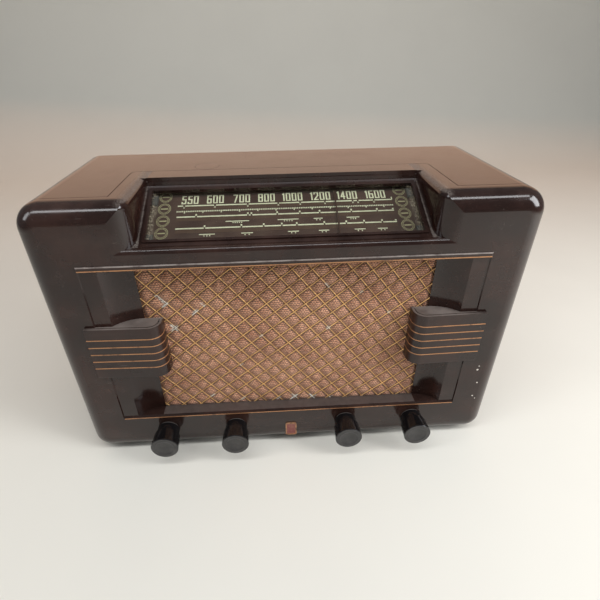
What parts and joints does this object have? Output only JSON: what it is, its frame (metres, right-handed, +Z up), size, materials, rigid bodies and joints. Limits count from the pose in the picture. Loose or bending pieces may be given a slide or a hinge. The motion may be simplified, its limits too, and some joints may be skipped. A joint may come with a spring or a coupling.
{
  "type": "table radio",
  "caption": "Bakelite table radio with sloping glass dial, wire grille over cloth, ribbed side louvres and turning knobs.",
  "frame": {"origin": "middle of the overall box, on the surface the feet stand on", "axes": "+X to the right seen from the front, +Y to the rear, +Z up"},
  "size_m": [0.46, 0.212, 0.297],
  "materials": {
    "bakelite_brown": "polished, worn and dusty",
    "bakelite_black": "polished, faces dusty",
    "copper_line": "copper paint in a groove, rubbed",
    "badge_enamel": "dull red enamel in a copper rim",
    "gilt_wire": "gilt wire, bare where rubbed",
    "grille_cloth": "copper-brown plain weave",
    "plywood": "raw birch ply",
    "grey_card": "pressed card",
    "painted_steel": "black crackle",
    "cone_paper": "pulp paper",
    "plated_steel": "cadmium plated, dulled",
    "iron_core": "varnished laminations",
    "clear_glass": "float glass, dusty at its edges",
    "dial_print": "printed dial plate",
    "lamp_glass": "small bulb",
    "brass_parts": "turned brass, tarnished",
    "pointer_paint": "enamelled needle",
    "drive_thread": "waxed flax cord",
    "aluminium_parts": "spun aluminium",
    "phenolic": "paxolin",
    "felt": "felt",
    "valve_bulb_glass": "clear bulb with silver getter",
    "wound_paper": "varnished winding paper",
    "fibreboard": "pressed brown fibreboard",
    "black_rubber": "matt rubber"
  },
  "bodies": {
    "cabinet": {"back_panel": "fibreboard", "badge_plaque": "badge_enamel", "baffle_board": "plywood", "band_switch": "phenolic", "cabinet_shell": "bakelite_brown", "chassis": "plated_steel", "chassis_bolts": "plated_steel", "chassis_cans": "aluminium_parts", "dial_clips": "plated_steel", "dial_cord": "drive_thread", "dial_glass": "clear_glass", "dial_lamps": "lamp_glass", "dial_plate": "dial_print", "drive_cord": "drive_thread", "felt_washers": "felt", "fixing_screws": "plated_steel", "front_moulding": "bakelite_brown", "gang_frame": "plated_steel", "gang_stators": "aluminium_parts", "grille_lattice": "gilt_wire", "grille_trim": "copper_line", "lamp_holders": "brass_parts", "louvre_left": "bakelite_brown", "louvre_lines": "copper_line", "louvre_right": "bakelite_brown", "mains_grommet": "black_rubber", "output_transformer": "iron_core", "pointer_rail": "plated_steel", "pulley_plate": "plated_steel", "rubber_feet": "black_rubber", "speaker_cloth": "grille_cloth", "speaker_frame": "painted_steel", "speaker_magnet": "painted_steel", "speaker_spider": "cone_paper", "speaker_surround": "grey_card", "spindle_bearing": "brass_parts", "terminal_screws": "brass_parts", "terminal_strip": "phenolic", "tone_control": "phenolic", "transformer_core": "iron_core", "transformer_winding": "wound_paper", "valve_bases": "bakelite_black", "valve_glasses": "valve_bulb_glass", "valve_sockets": "phenolic", "volume_control": "phenolic"},
    "volume_control_shaft": {"volume_knob": "bakelite_black", "volume_shaft": "plated_steel"},
    "tone_control_shaft": {"tone_knob": "bakelite_black", "tone_shaft": "plated_steel"},
    "band_switch_shaft": {"band_knob": "bakelite_black", "band_shaft": "plated_steel"},
    "tuning_spindle": {"tuning_knob": "bakelite_black", "tuning_shaft": "plated_steel"},
    "tuning_gang": {"dial_drum": "aluminium_parts", "gang_rotor": "aluminium_parts"},
    "pointer_carriage": {"dial_pointer": "pointer_paint"},
    "left_guide_pulley": {"left_pulley": "brass_parts"},
    "right_guide_pulley": {"right_pulley": "brass_parts"},
    "turn_guide_pulley": {"turn_pulley": "brass_parts"},
    "cone": {"speaker_cone": "cone_paper"}
  },
  "joints": [
    {"name": "volume_turn", "type": "hinge", "parent": "cabinet", "child": "volume_control_shaft", "pos_m": [-0.0629, 0, 0.034], "axis": [0, 1, 0], "range_deg": [0, 290]},
    {"name": "tone_turn", "type": "hinge", "parent": "cabinet", "child": "tone_control_shaft", "pos_m": [-0.14, 0, 0.034], "axis": [0, 1, 0], "range_deg": [0, 290]},
    {"name": "band_switch_turn", "type": "hinge", "parent": "cabinet", "child": "band_switch_shaft", "pos_m": [0.0629, 0, 0.034], "axis": [0, 1, 0], "range_deg": [-30, 30]},
    {"name": "gang_turn", "type": "hinge", "parent": "cabinet", "child": "tuning_gang", "pos_m": [0.15, 0, 0.116], "axis": [0, 1, 0], "range_deg": [-136.22, 43.8]},
    {"name": "tuning_turn", "type": "hinge", "parent": "cabinet", "child": "tuning_spindle", "pos_m": [0.14, 0, 0.034], "axis": [0, 1, 0], "range_deg": [-1409.07, 454.14]},
    {"name": "pointer_slide", "type": "slide", "parent": "cabinet", "child": "pointer_carriage", "axis": [1, 0, 0], "range_m": [-0.1476, 0.0476]},
    {"name": "left_pulley_turn", "type": "hinge", "parent": "cabinet", "child": "left_guide_pulley", "pos_m": [-0.118, 0.0075, 0.2772], "axis": [0, 1, 0], "range_deg": [-1409.07, 454.14]},
    {"name": "right_pulley_turn", "type": "hinge", "parent": "cabinet", "child": "right_guide_pulley", "pos_m": [0.206, 0.0075, 0.2772], "axis": [0, 1, 0], "range_deg": [-1409.07, 454.14]},
    {"name": "turn_pulley_turn", "type": "hinge", "parent": "cabinet", "child": "turn_guide_pulley", "pos_m": [0.082, 0.0075, 0.2652], "axis": [0, 1, 0], "range_deg": [-454.14, 1409.07]},
    {"name": "cone_travel", "type": "slide", "parent": "cabinet", "child": "cone", "axis": [0, 1, 0], "range_m": [-0.001, 0.001], "stiffness_N_per_m": 1500}
  ],
  "couplings": [
    {"joint": "tuning_turn", "follows": "gang_turn", "ratio": 10.333},
    {"joint": "pointer_slide", "follows": "gang_turn", "m_per_rad": 0.062},
    {"joint": "left_pulley_turn", "follows": "gang_turn", "ratio": 10.333},
    {"joint": "right_pulley_turn", "follows": "gang_turn", "ratio": 10.333},
    {"joint": "turn_pulley_turn", "follows": "gang_turn", "ratio": -10.333}
  ]
}
